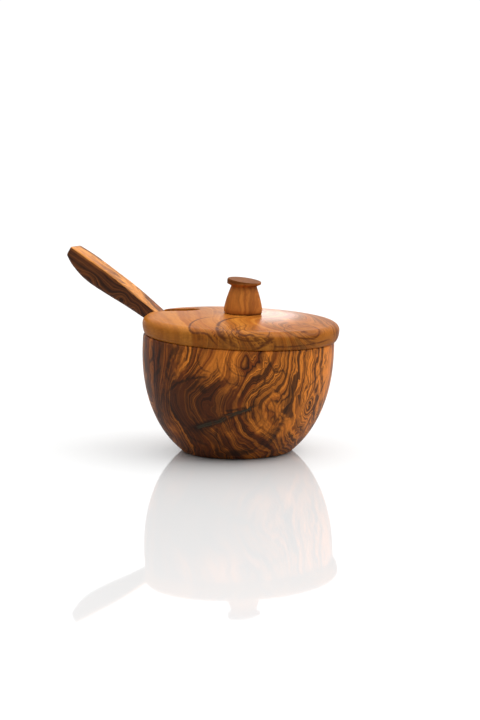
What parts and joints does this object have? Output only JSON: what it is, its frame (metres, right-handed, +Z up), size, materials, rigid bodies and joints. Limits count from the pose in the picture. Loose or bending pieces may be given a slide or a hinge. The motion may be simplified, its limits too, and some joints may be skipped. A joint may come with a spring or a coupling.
{
  "type": "sugar bowl",
  "caption": "Turned olive-wood sugar bowl with a slotted lift-off lid, a slant-cut knob and a carved spoon whose handle leaves through the lid's notch.",
  "frame": {"origin": "point where the turning axis meets the flat base, on the table", "axes": "+Z up, -X the way the spoon handle leaves the bowl, XZ the mirror plane"},
  "size_m": [0.153, 0.1026, 0.1041],
  "materials": {
    "bowl_wood": "oiled satin, dark streaks",
    "lid_wood": "oiled satin, golden with ring knots",
    "knob_wood": "oiled satin",
    "spoon_wood": "oiled satin, long streaks",
    "dowel_wood": "plain sanded"
  },
  "bodies": {
    "bowl": {"bowl": "bowl_wood"},
    "lid": {"lid": "lid_wood", "knob": "knob_wood", "knob_dowel": "dowel_wood"},
    "spoon": {"spoon": "spoon_wood"}
  },
  "joints": [
    {"name": "lid_lift", "type": "slide", "parent": "bowl", "child": "lid", "axis": [0.0454, 0, 0.999], "range_m": [0, 0.075]},
    {"name": "spoon_draw", "type": "slide", "parent": "bowl", "child": "spoon", "axis": [-0.8434, 0, 0.5373], "range_m": [0, 0.032]}
  ]
}
